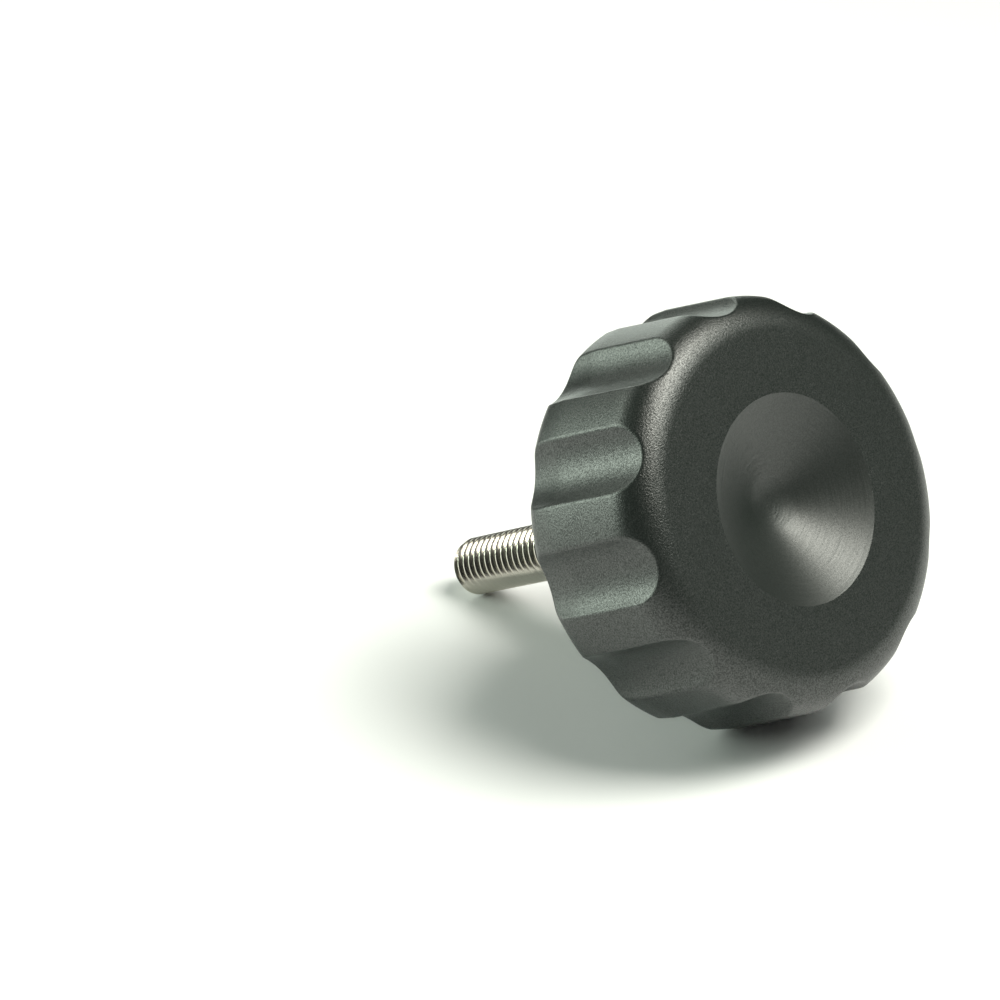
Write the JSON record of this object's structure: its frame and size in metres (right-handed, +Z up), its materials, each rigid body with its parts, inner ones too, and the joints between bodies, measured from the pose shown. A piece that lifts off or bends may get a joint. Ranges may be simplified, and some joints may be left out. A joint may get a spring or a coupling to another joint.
{
  "type": "knurled knob",
  "caption": "Round fluted hand knob of black moulded plastic with a dished face, a hollow underside and a stainless threaded stud, for clamping or adjusting by hand.",
  "frame": {"origin": "centre of the bounding box at the floor that the knob lies on", "axes": "+Z up; the knob's axis lies in the YZ plane, leaning 26.2 degrees above level, with the dished face towards -Y and up and the stud towards +Y and down"},
  "size_m": [0.0672, 0.088, 0.0677],
  "materials": {
    "body_plastic": "black glass-filled polyamide with a fine spark-eroded grain and a smoother dish",
    "stud_steel": "bright stainless steel with a rolled coarse thread"
  },
  "bodies": {
    "root": {"knob_body": "body_plastic", "threaded_stud": "stud_steel"}
  },
  "joints": []
}
